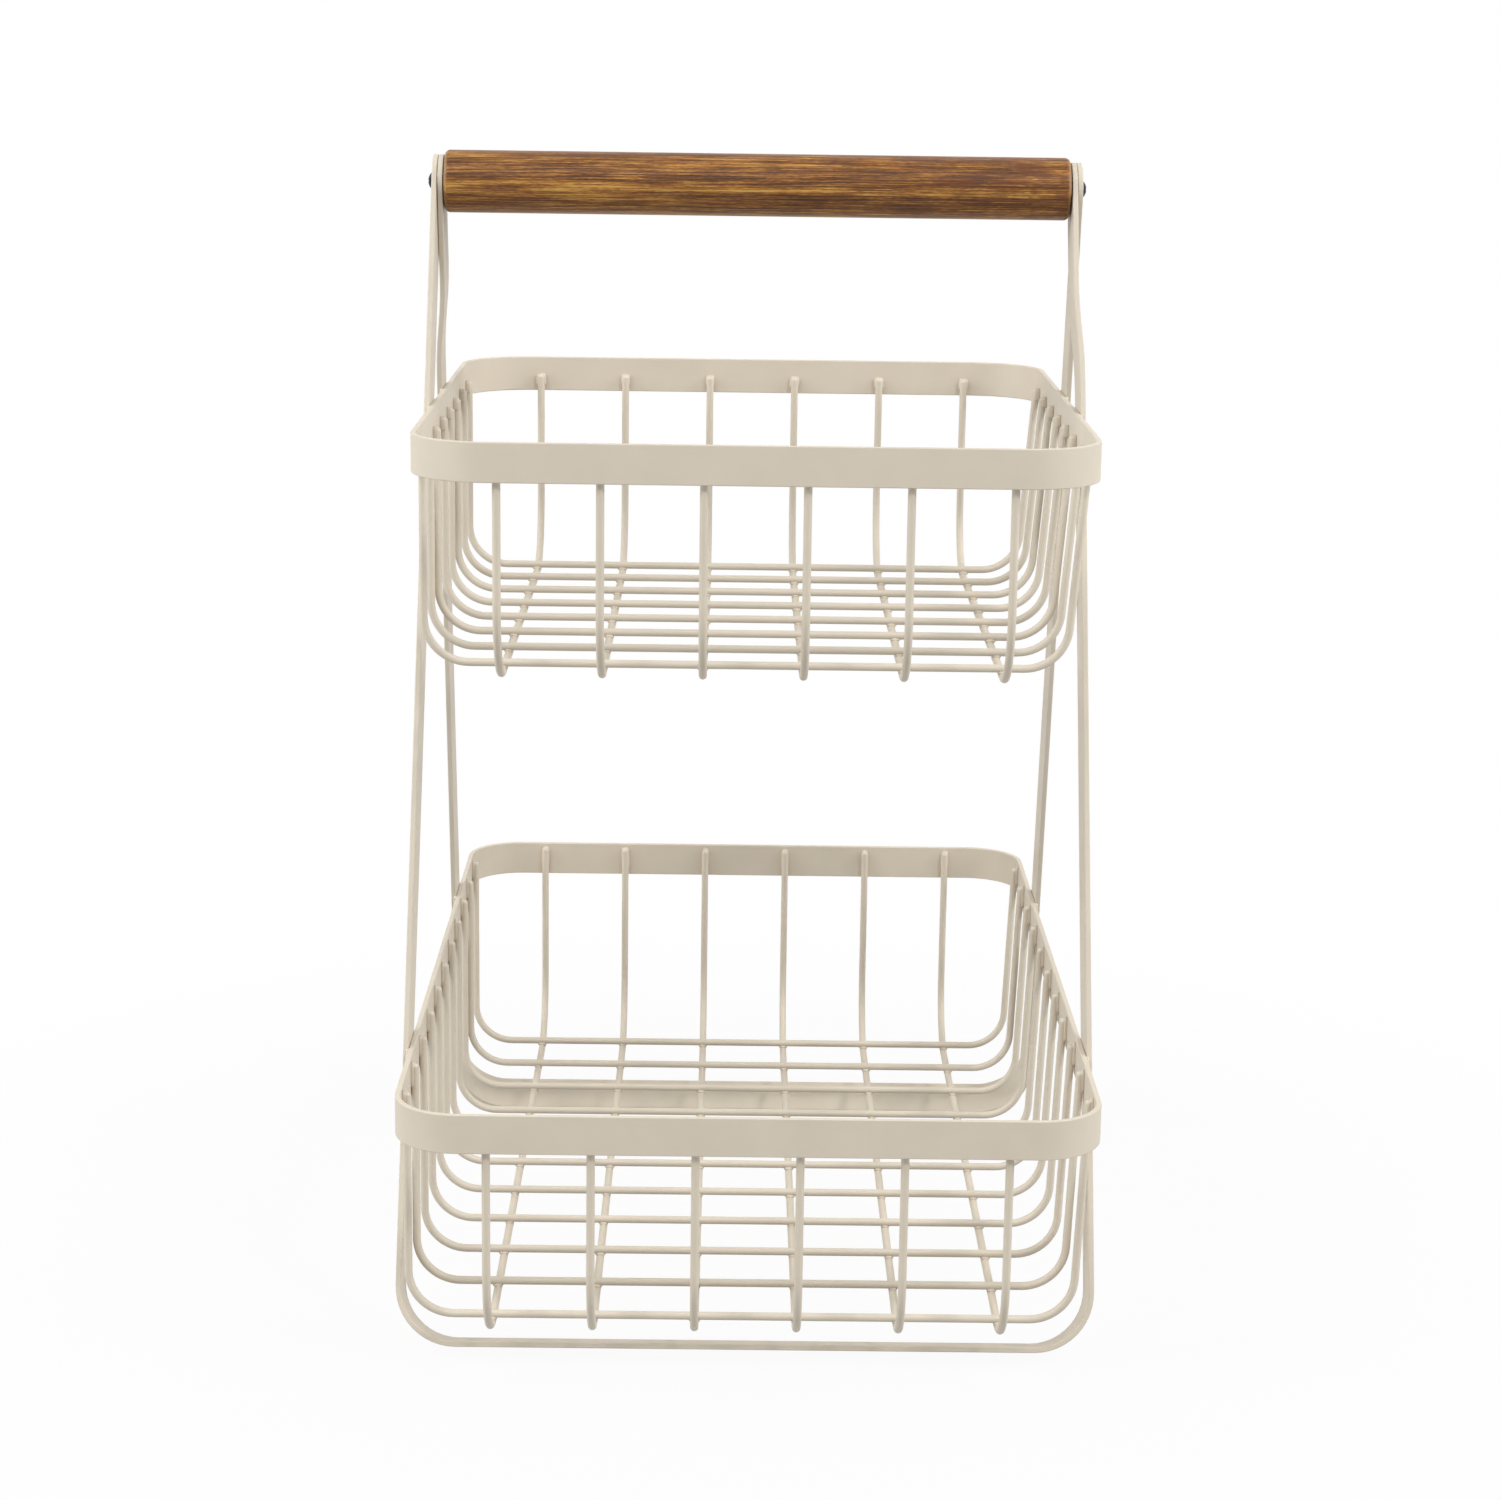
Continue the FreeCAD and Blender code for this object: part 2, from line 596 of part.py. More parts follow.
def make_grip():
    """A round rod across the hoops with a blind pilot hole in each end."""
    body = new_body("handle_grip")
    outline = new_sketch(body, "YZ_Plane", "Outline")
    circle(outline, "Sizes.grip_diameter")
    rod = body.newObject("PartDesign::Pad", "Rod")
    rod.Profile = outline
    rod.Midplane = True
    rod.setExpression("Length", "Sizes.grip_length")
    doc.recompute()
    rounded = round_edges(body, rod, is_end_of_rod, "Sizes.grip_round", "Ends")
    pilot = new_sketch(body, "YZ_Plane", "Pilot", lift="Sizes.grip_length / 2")
    circle(pilot, "Sizes.screw_diameter + 2 * Sizes.pilot_gap")
    hole = cut(body, pilot, "PilotHole", depth="Sizes.pilot_depth")
    mirrored = body.newObject("PartDesign::Mirrored", "PilotHoles")
    mirrored.Originals = [hole]
    plane = next(p for p in body.Origin.OriginFeatures if p.Role == "YZ_Plane")
    mirrored.MirrorPlane = (plane, [""])
    body.Tip = mirrored
    body.setExpression("Placement.Base.z", "Sizes.handle_height")
    doc.recompute()
    removed = rounded.Shape.Volume - body.Shape.Volume
    radius = amount("Sizes.screw_radius + Sizes.pilot_gap")
    expected = 2 * math.pi * radius**2 * amount("Sizes.pilot_depth")
    require(math.isclose(removed, expected, rel_tol=0.001), "the grip needs a pilot hole in each end")


def screw_profile(sketch):
    """Half of a screw's outline: its head stands above the origin and its shank below."""
    head = amount("Sizes.head_diameter") / 2
    height = amount("Sizes.head_height")
    edge = amount("Sizes.head_edge")
    shank = amount("Sizes.screw_radius")
    tip = -amount("Sizes.screw_length")
    neck = tip + amount("Sizes.screw_point")
    rise = height - edge
    dome = (head**2 + rise**2) / (2 * rise)
    slope = math.degrees(math.acos(head / dome))
    pieces = chain(
        sketch,
        (
            line((0, tip), (0, height)),
            arc((0, height - dome), dome, slope, 90),
            line((head, edge), (head, 0)),
            line((head, 0), (shank, 0)),
            line((shank, 0), (shank, neck)),
            line((shank, neck), (0, tip)),
        ),
        joint="Coincident",
        closed=True,
    )
    axis, crown, rim, seat, side = pieces[:5]
    keep_direction(sketch, "Vertical", axis, rim, side)
    keep_direction(sketch, "Horizontal", seat)
    sketch.addConstraint(Sketcher.Constraint("PointOnObject", axis, START, UPRIGHT))
    sketch.addConstraint(Sketcher.Constraint("PointOnObject", crown, CENTRE, UPRIGHT))
    sketch.addConstraint(Sketcher.Constraint("PointOnObject", seat, START, ACROSS))
    fix_across(sketch, rim, START, "Sizes.head_diameter / 2", 1)
    fix_across(sketch, side, START, "Sizes.screw_radius", 1)
    fix_up(sketch, axis, END, "Sizes.head_height")
    fix_up(sketch, rim, START, "Sizes.head_edge")
    fix_down(sketch, axis, START, "Sizes.screw_length")
    fix_down(sketch, side, END, "Sizes.screw_length - Sizes.screw_point")


def make_screw(label, side):
    """A round-head screw with a cross recess, pointing into the grip from the right for side 1."""
    body = new_body(label)
    profile = new_sketch(body, "XZ_Plane", "Profile")
    screw_profile(profile)
    turned = body.newObject("PartDesign::Revolution", "Turned")
    turned.Profile = profile
    turned.ReferenceAxis = (profile, ["V_Axis"])
    turned.Angle = 360
    slot = new_sketch(body, "XY_Plane", "Slot", lift="Sizes.head_height")
    half_length = amount("Sizes.recess_length") / 2
    half_width = amount("Sizes.recess_width") / 2
    front, right, back, left = rectangle(
        slot,
        ((-half_length, -half_width), (half_length, half_width)),
    )
    fix_across(slot, right, START, "Sizes.recess_length / 2", 1)
    fix_across(slot, left, START, "Sizes.recess_length / 2", -1)
    fix_up(slot, back, START, "Sizes.recess_width / 2")
    fix_down(slot, front, START, "Sizes.recess_width / 2")
    recess = cut(body, slot, "Recess", depth="Sizes.recess_depth")
    crossed = body.newObject("PartDesign::PolarPattern", "CrossRecess")
    crossed.Originals = [recess]
    crossed.Axis = (slot, ["N_Axis"])
    crossed.Angle = 90
    crossed.Occurrences = 2
    body.Tip = crossed
    body.Placement = Placement(
        Vector(side * amount("Sizes.head_seat"), 0, amount("Sizes.handle_height")),
        Rotation(Vector(0, side, 0), 90),
    )
    body.setExpression("Placement.Base.x", f"{side} * Sizes.head_seat")
    body.setExpression("Placement.Base.z", "Sizes.handle_height")


make_hoop("front_hoop", -1)
make_hoop("rear_hoop", 1)
make_rim("upper")
make_rim("lower")
make_basket("upper", UPPER_CROSS_WIRES)
make_basket("lower", LOWER_CROSS_WIRES)
make_grip()
make_screw("left_screw", -1)
make_screw("right_screw", 1)
doc.recompute()

for item in doc.Objects:
    require(
        "Invalid" not in item.State and "Error" not in item.State,
        f"{item.Label} failed: {item.State}",
    )
    if item.TypeId == "Sketcher::SketchObject":
        require(item.FullyConstrained, f"{item.Label} can still move")
for body in bodies:
    shape = body.Shape
    require(not shape.isNull() and shape.isValid(), f"{body.Label} has no sound shape")
    require(len(shape.Solids) == 1, f"{body.Label} isn't one solid")

os.makedirs("parts", exist_ok=True)
for body in bodies:
    body.Shape.exportStep(f"parts/{body.Label}.step")
print(f"{len(bodies)} sub-parts, {amount('Sizes.handle_height + Sizes.grip_radius'):.1f} mm high")
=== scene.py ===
"""Finish and studio of a two-tier wire basket: coated steel, stained bamboo, dark screws and welds."""

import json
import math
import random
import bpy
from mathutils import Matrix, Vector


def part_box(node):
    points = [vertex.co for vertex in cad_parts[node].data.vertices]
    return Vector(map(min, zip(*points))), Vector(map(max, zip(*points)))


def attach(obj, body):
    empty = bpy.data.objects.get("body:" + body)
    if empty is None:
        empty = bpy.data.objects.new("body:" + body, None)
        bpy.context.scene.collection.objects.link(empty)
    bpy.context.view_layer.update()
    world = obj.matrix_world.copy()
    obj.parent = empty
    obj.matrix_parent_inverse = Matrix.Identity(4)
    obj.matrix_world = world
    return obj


bl_info = {
    "name": "Tiered wire basket",
    "version": (1, 0, 0),
    "blender": (4, 5, 0),
    "location": "3D View > Sidebar > Basket",
    "description": "Finishes the pieces of a two-tier wire basket, adds its welds and sets up a studio",
    "category": "Object",
}

import bmesh
import bpy
from bpy.props import FloatProperty, FloatVectorProperty, PointerProperty
from mathutils import Matrix, Vector

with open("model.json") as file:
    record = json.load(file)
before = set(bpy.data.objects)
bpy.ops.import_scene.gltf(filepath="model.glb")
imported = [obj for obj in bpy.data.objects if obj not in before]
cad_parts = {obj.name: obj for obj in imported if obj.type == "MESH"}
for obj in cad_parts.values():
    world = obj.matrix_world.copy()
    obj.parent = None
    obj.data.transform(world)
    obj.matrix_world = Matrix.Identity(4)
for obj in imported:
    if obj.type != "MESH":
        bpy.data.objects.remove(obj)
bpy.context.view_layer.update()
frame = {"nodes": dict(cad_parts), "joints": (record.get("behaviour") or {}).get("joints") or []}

TIERS = ("upper", "lower")
HOOPS = ("front_hoop", "rear_hoop")
RIMS = ("upper_rim", "lower_rim")
GRIP = "handle_grip"
SCREWS = ("left_screw", "right_screw")
WIRES = tuple(name for name in frame["nodes"] if "_wire_" in name)
GRIP_AXIS = Vector(frame["joints"][0]["pos_m"])
MILLIMETRE = 0.001


# Colours and nodes

def linear(hex_code):
    """A colour written as sRGB hex digits, as the linear red, green and blue that Blender takes."""
    shares = [int(hex_code[i:i + 2], 16) / 255 for i in (0, 2, 4)]
    return [s / 12.92 if s <= 0.04045 else ((s + 0.055) / 1.055) ** 2.4 for s in shares]


def opaque(colour):
    """A colour with full alpha, for a node's socket."""
    return (*colour, 1.0)


def per_metre(millimetres):
    """The pattern scale that gives features of this size."""
    return 1 / (millimetres * MILLIMETRE)


def empty_tree(owner):
    """The node tree of a new material or world, with its first nodes taken out."""
    owner.use_nodes = True
    owner.node_tree.nodes.clear()
    return owner.node_tree


def add_node(tree, kind, inputs=None, stops=(), **options):
    """Adds a node with its options, and fills its inputs with values, sockets or nodes' main outputs.
    A colour ramp takes its stops as pairs of a position and a colour."""
    node = tree.nodes.new(kind)
    for name, value in options.items():
        setattr(node, name, value)
    for _ in stops[2:]:
        node.color_ramp.elements.new(1.0)
    for i, (position, colour) in enumerate(stops):
        node.color_ramp.elements[i].position = position
        node.color_ramp.elements[i].color = colour
    for name, value in (inputs or {}).items():
        if isinstance(value, bpy.types.Node):
            value = next(output for output in value.outputs if output.enabled)
        if isinstance(value, bpy.types.NodeSocket):
            tree.links.new(value, node.inputs[name])
        else:
            node.inputs[name].default_value = value
    return node


# A Mix node has several sockets of one name, so its share and its two colours go by their numbers
MIX_SHARE, MIX_FIRST, MIX_SECOND = (0, 6, 7)
# Most values of a noise pattern lie in this span
NOISE_SPAN = {"From Min": 0.3, "From Max": 0.7}


# Settings

class CoatSettings(bpy.types.PropertyGroup):
    """Powder coat on all the steel."""

    colour: FloatVectorProperty(
        name="Colour",
        description="Warm grey of the coat",
        default=linear("D0C6B5"),
        size=3,
        subtype="COLOR",
        min=0,
        max=1,
    )
    shade: FloatVectorProperty(
        name="Shade",
        description="Slightly darker grey that the coat drifts to where it is thicker",
        default=linear("CCC2B1"),
        size=3,
        subtype="COLOR",
        min=0,
        max=1,
    )
    drift: FloatProperty(
        name="Drift",
        description="Size of the soft patches of colour, in millimetres",
        default=24,
        min=2,
    )
    peel: FloatProperty(
        name="Orange peel",
        description="Size of the dimples that the melted powder leaves, in millimetres",
        default=1.6,
        min=0.3,
    )


class BambooSettings(bpy.types.PropertyGroup):
    """Stained bamboo of the grip."""

    burl: FloatVectorProperty(
        name="Burl",
        description="Red brown blotches at the right end",
        default=linear("63371F"),
        size=3,
        subtype="COLOR",
        min=0,
        max=1,
    )
    worn: FloatVectorProperty(
        name="Worn ends",
        description="Bare bamboo where the stain has rubbed off the rounded ends",
        default=linear("B08A5E"),
        size=3,
        subtype="COLOR",
        min=0,
        max=1,
    )
    strand_width: FloatProperty(
        name="Strand width",
        description="Width of a strand, in millimetres",
        default=0.28,
        min=0.1,
    )
    strand_length: FloatProperty(
        name="Strand length",
        description="Length of a strand, in millimetres",
        default=34,
        min=1,
    )
    patch_width: FloatProperty(
        name="Patch width",
        description="Width of the soft patches where the stain took more or less, in millimetres",
        default=2.4,
        min=0.1,
    )
    patch_length: FloatProperty(
        name="Patch length",
        description="Length of the soft patches where the stain took more or less, in millimetres",
        default=22,
        min=1,
    )


class ScrewSettings(bpy.types.PropertyGroup):
    """Black oxide of the screws."""

    colour: FloatVectorProperty(
        name="Colour",
        description="Blue black of the oxide",
        default=linear("26282C"),
        size=3,
        subtype="COLOR",
        min=0,
        max=1,
    )
    worn: FloatVectorProperty(
        name="Worn spots",
        description="Grey of the steel where the oxide is thin",
        default=linear("5A5D63"),
        size=3,
        subtype="COLOR",
        min=0,
        max=1,
    )


class WeldSettings(bpy.types.PropertyGroup):
    """Beads and pads of weld under the coat."""

    crossing: FloatProperty(
        name="Crossing beads",
        description="Half the width of the bead where two wires cross",
        default=2.0 * MILLIMETRE,
        min=0,
        unit="LENGTH",
    )
    upper_pad: FloatVectorProperty(
        name="Upper pads",
        description="Width, depth from the rim and height of the pads at the upper basket's wire ends",
        default=(3.9 * MILLIMETRE, 2.2 * MILLIMETRE, 5.0 * MILLIMETRE),
        size=3,
        subtype="XYZ_LENGTH",
        unit="LENGTH",
    )
    lower_pad: FloatVectorProperty(
        name="Lower pads",
        description="Width, depth from the rim and height of the pads at the lower basket's wire ends",
        default=(3.3 * MILLIMETRE, 1.2 * MILLIMETRE, 9.0 * MILLIMETRE),
        size=3,
        subtype="XYZ_LENGTH",
        unit="LENGTH",
    )
    strap: FloatProperty(
        name="Strap beads",
        description="Half the width of the beads along a strap's edges on the rims",
        default=1.0 * MILLIMETRE,
        min=0,
        unit="LENGTH",
    )
    strap_width: FloatProperty(
        name="Strap width",
        description="Width of the hoops' strap",
        default=20.5 * MILLIMETRE,
        min=0,
        unit="LENGTH",
    )
    hoop_tilt: FloatProperty(
        name="Hoop tilt",
        description="Lean of each hoop from upright",
        default=math.radians(18.8),
        subtype="ANGLE",
    )


class StudioSettings(bpy.types.PropertyGroup):
    """Floor, light and camera."""

    floor: FloatVectorProperty(
        name="Floor",
        description="Colour of the floor",
        default=linear("BCBCBC"),
        size=3,
        subtype="COLOR",
        min=0,
        max=1,
    )
    glow: FloatProperty(
        name="Floor glow",
        description="How white the floor looks by itself near the basket",
        default=0.95,
        min=0,
        max=1,
        subtype="FACTOR",
    )
    surround: FloatProperty(
        name="Surround",
        description="Strength of the even white light from all round",
        default=0.37,
        min=0,
    )
    front_power: FloatProperty(
        name="Front lights",
        description="Power of each of the two soft lights high in front, on the left and the right",
        default=91,
        min=0,
        unit="POWER",
    )
    side_power: FloatProperty(
        name="Side lights",
        description="Power of each of the two weaker lights at the sides, which brighten the straps",
        default=26,
        min=0,
        unit="POWER",
    )
    camera_place: FloatVectorProperty(
        name="Camera place",
        description="Where the camera stands",
        default=(-0.00984, -1.2942, 0.49536),
        size=3,
        subtype="TRANSLATION",
    )
    camera_yaw: FloatProperty(
        name="Camera yaw",
        description="Turn of the camera to the right",
        default=0.0077,
        subtype="ANGLE",
    )
    camera_pitch: FloatProperty(
        name="Camera pitch",
        description="Tilt of the camera downwards",
        default=0.22436,
        subtype="ANGLE",
    )
    camera_roll: FloatProperty(
        name="Camera roll",
        description="Roll of the camera about its line of sight",
        default=-0.01392,
        subtype="ANGLE",
    )
    lens: FloatProperty(
        name="Lens",
        description="Focal length in millimetres on a sensor 36 mm wide",
        default=78.93,
        min=1,
    )


# Materials

def powder_coat(look):
    """Powder coated steel: the powder melts to an even satin skin with faint dimples, and no metal
    shows."""
    material = bpy.data.materials.new("satin_powder_coat")
    tree = empty_tree(material)
    place = add_node(tree, "ShaderNodeTexCoord").outputs["Object"]
    drift = add_node(
        tree,
        "ShaderNodeTexNoise",
        {"Vector": place, "Scale": per_metre(look.drift), "Detail": 3.0, "Roughness": 0.55},
    )
    share = add_node(tree, "ShaderNodeMapRange", {"Value": drift, "From Min": 0.35, "From Max": 0.65})
    colour = add_node(
        tree,
        "ShaderNodeMix",
        {MIX_SHARE: share, MIX_FIRST: opaque(look.colour), MIX_SECOND: opaque(look.shade)},
        data_type="RGBA",
    )
    peel = add_node(
        tree,
        "ShaderNodeTexNoise",
        {"Vector": place, "Scale": per_metre(look.peel), "Detail": 2.0, "Roughness": 0.4},
    )
    satin = add_node(
        tree,
        "ShaderNodeMapRange",
        {"Value": peel, **NOISE_SPAN, "To Min": 0.48, "To Max": 0.56},
    )
    dimples = add_node(
        tree,
        "ShaderNodeBump",
        {"Height": peel, "Strength": 0.3, "Distance": 0.015 * MILLIMETRE},
    )
    shader = add_node(
        tree,
        "ShaderNodeBsdfPrincipled",
        {"Base Color": colour, "Roughness": satin, "Normal": dimples, "IOR": 1.5},
    )
    add_node(tree, "ShaderNodeOutputMaterial", {"Surface": shader})
    return material


# Stain from the dark strands to the bare ones
BAMBOO_STAIN = (
    (0.0, "3A2413"),
    (0.3, "55361D"),
    (0.45, "6E4525"),
    (0.6, "885728"),
    (0.75, "A47233"),
    (1.0, "C79C50"),
)
# How pale the cane's strips are from the grip's underside to its top, with painted floor light on the
# underside
BAMBOO_STRIPS_AND_PAINTED_BOUNCE = (
    # The first two stops make the underside paler: painted light bounced up from the floor
    (0.0, 0.60),
    (0.22, 0.50),
    (0.36, 0.50),
    (0.40, 0.66),
    (0.49, 0.67),
    (0.54, 0.43),
    (0.76, 0.43),
    (0.84, 0.50),
    (1.0, 0.48),
)
# How far the strips wander up and down, as a share of the grip's height
STRIP_WANDER = 0.03
# How much the fine strands, the soft patches and the specks change how pale the stain is
STRAND_SWING, PATCH_SWING, SPECK_SWING = (0.42, 0.2, 0.14)
# Length of a speck as a share of a strand's
SPECK_LENGTH = 0.08
# Where the burl starts and is full, in metres right of the grip's middle, and its share at both places
BURL_START, BURL_FULL = (0.01, 0.1)
BURL_LEAST, BURL_MOST = (0.05, 0.6)
# How far from the grip's ends the wear starts and is full, and its share where it is full
WEAR_START = 1.5 * MILLIMETRE
WEAR_FULL = 0.5 * MILLIMETRE
WEAR_MOST = 0.5


def stained_bamboo(look):
    """Bamboo split to strips, glued, turned, stained dark and lacquered: satin, with fine gold and
    dark strands."""
    material = bpy.data.materials.new("stained_bamboo_satin_lacquer")
    tree = empty_tree(material)
    lowest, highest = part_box(GRIP)
    radius = (highest.z - lowest.z) / 2
    place = add_node(tree, "ShaderNodeTexCoord").outputs["Object"]
    centred = add_node(tree, "ShaderNodeMapping", {"Vector": place, "Location": -GRIP_AXIS})
    axes = add_node(tree, "ShaderNodeSeparateXYZ", {"Vector": centred}).outputs

    def strands(length, width, detail):
        """Noise drawn out along the grip into strands of this length and width in millimetres."""
        scale = (per_metre(length), per_metre(width), per_metre(width))
        drawn = add_node(tree, "ShaderNodeMapping", {"Vector": centred, "Scale": scale})
        pattern = {"Vector": drawn, "Scale": 1.0, "Detail": detail, "Roughness": 0.6}
        return add_node(tree, "ShaderNodeTexNoise", pattern)

    # Strips: pale and dark bands along the grip that wander a little, and painted floor light on the
    # underside
    level = add_node(
        tree,
        "ShaderNodeMapRange",
        {"Value": axes["Z"], "From Min": -radius, "From Max": radius},
    )
    drift = strands(length=120, width=6, detail=1.0)
    wander = add_node(
        tree,
        "ShaderNodeMapRange",
        {"Value": drift, **NOISE_SPAN, "To Min": -STRIP_WANDER, "To Max": STRIP_WANDER},
    )
    height = add_node(tree, "ShaderNodeMath", {0: level, 1: wander}, operation="ADD")
    greys = [(position, opaque((grey, grey, grey))) for position, grey in BAMBOO_STRIPS_AND_PAINTED_BOUNCE]
    # This ramp also paints the underside paler, as light bounced up from the floor
    strips = add_node(tree, "ShaderNodeValToRGB", {"Fac": height}, greys)
    # Strands: fine long ones, soft patches and short specks make the stain paler or darker
    fine = strands(look.strand_length, look.strand_width, detail=2.0)
    patches = strands(look.patch_length, look.patch_width, detail=3.0)
    specks = strands(SPECK_LENGTH * look.strand_length, look.strand_width, detail=1.0)
    paleness = strips
    for pattern, swing in ((fine, STRAND_SWING), (patches, PATCH_SWING), (specks, SPECK_SWING)):
        limits = {**NOISE_SPAN, "To Min": -swing, "To Max": swing}
        change = add_node(tree, "ShaderNodeMapRange", {"Value": pattern, **limits})
        paleness = add_node(tree, "ShaderNodeMath", {0: paleness, 1: change}, operation="ADD")
    browns = [(position, opaque(linear(hex_code))) for position, hex_code in BAMBOO_STAIN]
    stain = add_node(tree, "ShaderNodeValToRGB", {"Fac": paleness}, browns)
    # Burl: the right end is redder and blotched
    towards_right = add_node(
        tree,
        "ShaderNodeMapRange",
        {
            "Value": axes["X"],
            "From Min": BURL_START,
            "From Max": BURL_FULL,
            "To Min": BURL_LEAST,
            "To Max": BURL_MOST,
        },
    )
    blotches = add_node(
        tree,
        "ShaderNodeMapRange",
        {"Value": strands(length=8, width=2.6, detail=2.0), "From Min": 0.46, "From Max": 0.58},
    )
    burl = add_node(tree, "ShaderNodeMath", {0: blotches, 1: towards_right}, operation="MULTIPLY")
    reddened = add_node(
        tree,
        "ShaderNodeMix",
        {MIX_SHARE: burl, MIX_FIRST: stain, MIX_SECOND: opaque(look.burl)},
        data_type="RGBA",
    )
    # Wear: bare bamboo at the rounded ends
    outwards = add_node(tree, "ShaderNodeMath", {0: axes["X"]}, operation="ABSOLUTE")
    rubbed = add_node(
        tree,
        "ShaderNodeMapRange",
        {
            "Value": outwards,
            "From Min": highest.x - WEAR_START,
            "From Max": highest.x - WEAR_FULL,
            "To Max": WEAR_MOST,
        },
    )
    colour = add_node(
        tree,
        "ShaderNodeMix",
        {MIX_SHARE: rubbed, MIX_FIRST: reddened, MIX_SECOND: opaque(look.worn)},
        data_type="RGBA",
    )
    # Lacquer: satin, a little rougher on the pale strands, with faint grooves between them
    satin = add_node(
        tree,
        "ShaderNodeMapRange",
        {"Value": fine, **NOISE_SPAN, "To Min": 0.38, "To Max": 0.5},
    )
    grooves = add_node(
        tree,
        "ShaderNodeBump",
        {"Height": fine, "Strength": 0.35, "Distance": 0.1 * MILLIMETRE},
    )
    shader = add_node(
        tree,
        "ShaderNodeBsdfPrincipled",
        {
            "Base Color": colour,
            "Roughness": satin,
            "Normal": grooves,
            "IOR": 1.5,
            "Specular IOR Level": 0.22,
            "Coat Weight": 0.12,
            "Coat Roughness": 0.35,
        },
    )
    add_node(tree, "ShaderNodeOutputMaterial", {"Surface": shader})
    return material


# Size of the thin spots in the oxide, in millimetres
OXIDE_SPOT = 1.2


def black_oxide(look):
    """Black oxide on steel screws: a thin blue black skin with a dull metallic shine and small worn
    spots."""
    material = bpy.data.materials.new("black_oxide_steel")
    tree = empty_tree(material)
    place = add_node(tree, "ShaderNodeTexCoord").outputs["Object"]
    spots = add_node(
        tree,
        "ShaderNodeTexNoise",
        {"Vector": place, "Scale": per_metre(OXIDE_SPOT), "Detail": 3.0, "Roughness": 0.6},
    )
    share = add_node(
        tree,
        "ShaderNodeMapRange",
        {"Value": spots, "From Min": 0.5, "From Max": 0.75, "To Max": 0.5},
    )
    colour = add_node(
        tree,
        "ShaderNodeMix",
        {MIX_SHARE: share, MIX_FIRST: opaque(look.colour), MIX_SECOND: opaque(look.worn)},
        data_type="RGBA",
    )
    polish = add_node(
        tree,
        "ShaderNodeMapRange",
        {"Value": spots, **NOISE_SPAN, "To Min": 0.42, "To Max": 0.28},
    )
    shader = add_node(
        tree,
        "ShaderNodeBsdfPrincipled",
        {"Base Color": colour, "Roughness": polish, "Metallic": 1.0},
    )
    add_node(tree, "ShaderNodeOutputMaterial", {"Surface": shader})
    return material


def seen_ray(tree):
    """Whether a ray comes from the camera, from a shiny surface or through a clear one."""
    path = add_node(tree, "ShaderNodeLightPath").outputs
    inputs = {0: path["Is Camera Ray"], 1: path["Is Glossy Ray"]}
    shiny = add_node(tree, "ShaderNodeMath", inputs, operation="MAXIMUM")
    inputs = {0: shiny, 1: path["Is Transmission Ray"]}
    return add_node(tree, "ShaderNodeMath", inputs, operation="MAXIMUM")


WHITE = opaque(linear("FFFFFF"))
# The paper takes the shadow up to the first distance, and looks plain white from the second one on
SHADOW_REACH = (0.2, 0.5)


def studio_floor(studio):
    """Matt white paper: it takes the basket's soft shadow and is plain white further away."""
    material = bpy.data.materials.new("matt_white_paper")
    tree = empty_tree(material)
    place = add_node(tree, "ShaderNodeTexCoord").outputs["Object"]
    away = add_node(tree, "ShaderNodeVectorMath", {0: place}, operation="LENGTH")
    near, far = SHADOW_REACH
    glow = add_node(
        tree,
        "ShaderNodeMapRange",
        {"Value": away.outputs["Value"], "From Min": near, "From Max": far, "To Min": studio.glow},
        interpolation_type="SMOOTHSTEP",
    )
    share = add_node(tree, "ShaderNodeMath", {0: seen_ray(tree), 1: glow}, operation="MULTIPLY")
    paper = add_node(tree, "ShaderNodeBsdfDiffuse", {"Color": opaque(studio.floor)})
    white = add_node(tree, "ShaderNodeEmission", {"Color": WHITE, "Strength": 1.0})
    mixed = add_node(tree, "ShaderNodeMixShader", {0: share, 1: paper, 2: white})
    add_node(tree, "ShaderNodeOutputMaterial", {"Surface": mixed})
    return material


def studio_world(studio):
    """Even white light from all round, which looks plain white where it is seen."""
    world = bpy.data.worlds.new("white_surround")
    tree = empty_tree(world)
    lighting = add_node(tree, "ShaderNodeBackground", {"Color": WHITE, "Strength": studio.surround})
    shown = add_node(tree, "ShaderNodeBackground", {"Color": WHITE, "Strength": 1.0})
    mixed = add_node(tree, "ShaderNodeMixShader", {0: seen_ray(tree), 1: lighting, 2: shown})
    add_node(tree, "ShaderNodeOutputWorld", {"Surface": mixed})
    return world


# Pieces

def dress(names, material):
    """Gives CAD nodes a finish."""
    for name in names:
        slots = frame["nodes"][name].data.materials
        slots.clear()
        slots.append(material)


def coat_material(context):
    """The powder coat, made once and shared by all the steel."""
    known = bpy.data.materials.get("satin_powder_coat")
    return known or powder_coat(context.scene.basket_coat)


def add_object(context, name, mesh, material):
    """Turns a finished mesh into an object of one material."""
    data = bpy.data.meshes.new(name)
    mesh.to_mesh(data)
    mesh.free()
    data.materials.append(material)
    added = bpy.data.objects.new(name, data)
    context.scene.collection.objects.link(added)
    return added


def finish_welds(context, name, mesh):
    """Turns beads or pads into one coated piece of the welded frame."""
    for face in mesh.faces:
        face.smooth = True
    piece = add_object(context, name, mesh, coat_material(context))
    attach(piece, "frame")


# A bead has few faces, because there are over a hundred of them
BEAD_SIDES = 10
BEAD_RINGS = 6
# Beads where wires cross: the seed and the range of their sizes, and their flat shape
CROSSING_SEED = 7
CROSSING_SWELL = (0.88, 1.1)
CROSSING_SHAPE = Vector((1.0, 1.0, 0.52))
# Beads along the straps: their shape, and how far they stand off, as a share of their half width
STRAP_BEAD_SHAPE = Vector((0.9, 1.0, 1.0))
STRAP_BEAD_OFFSET = 0.3


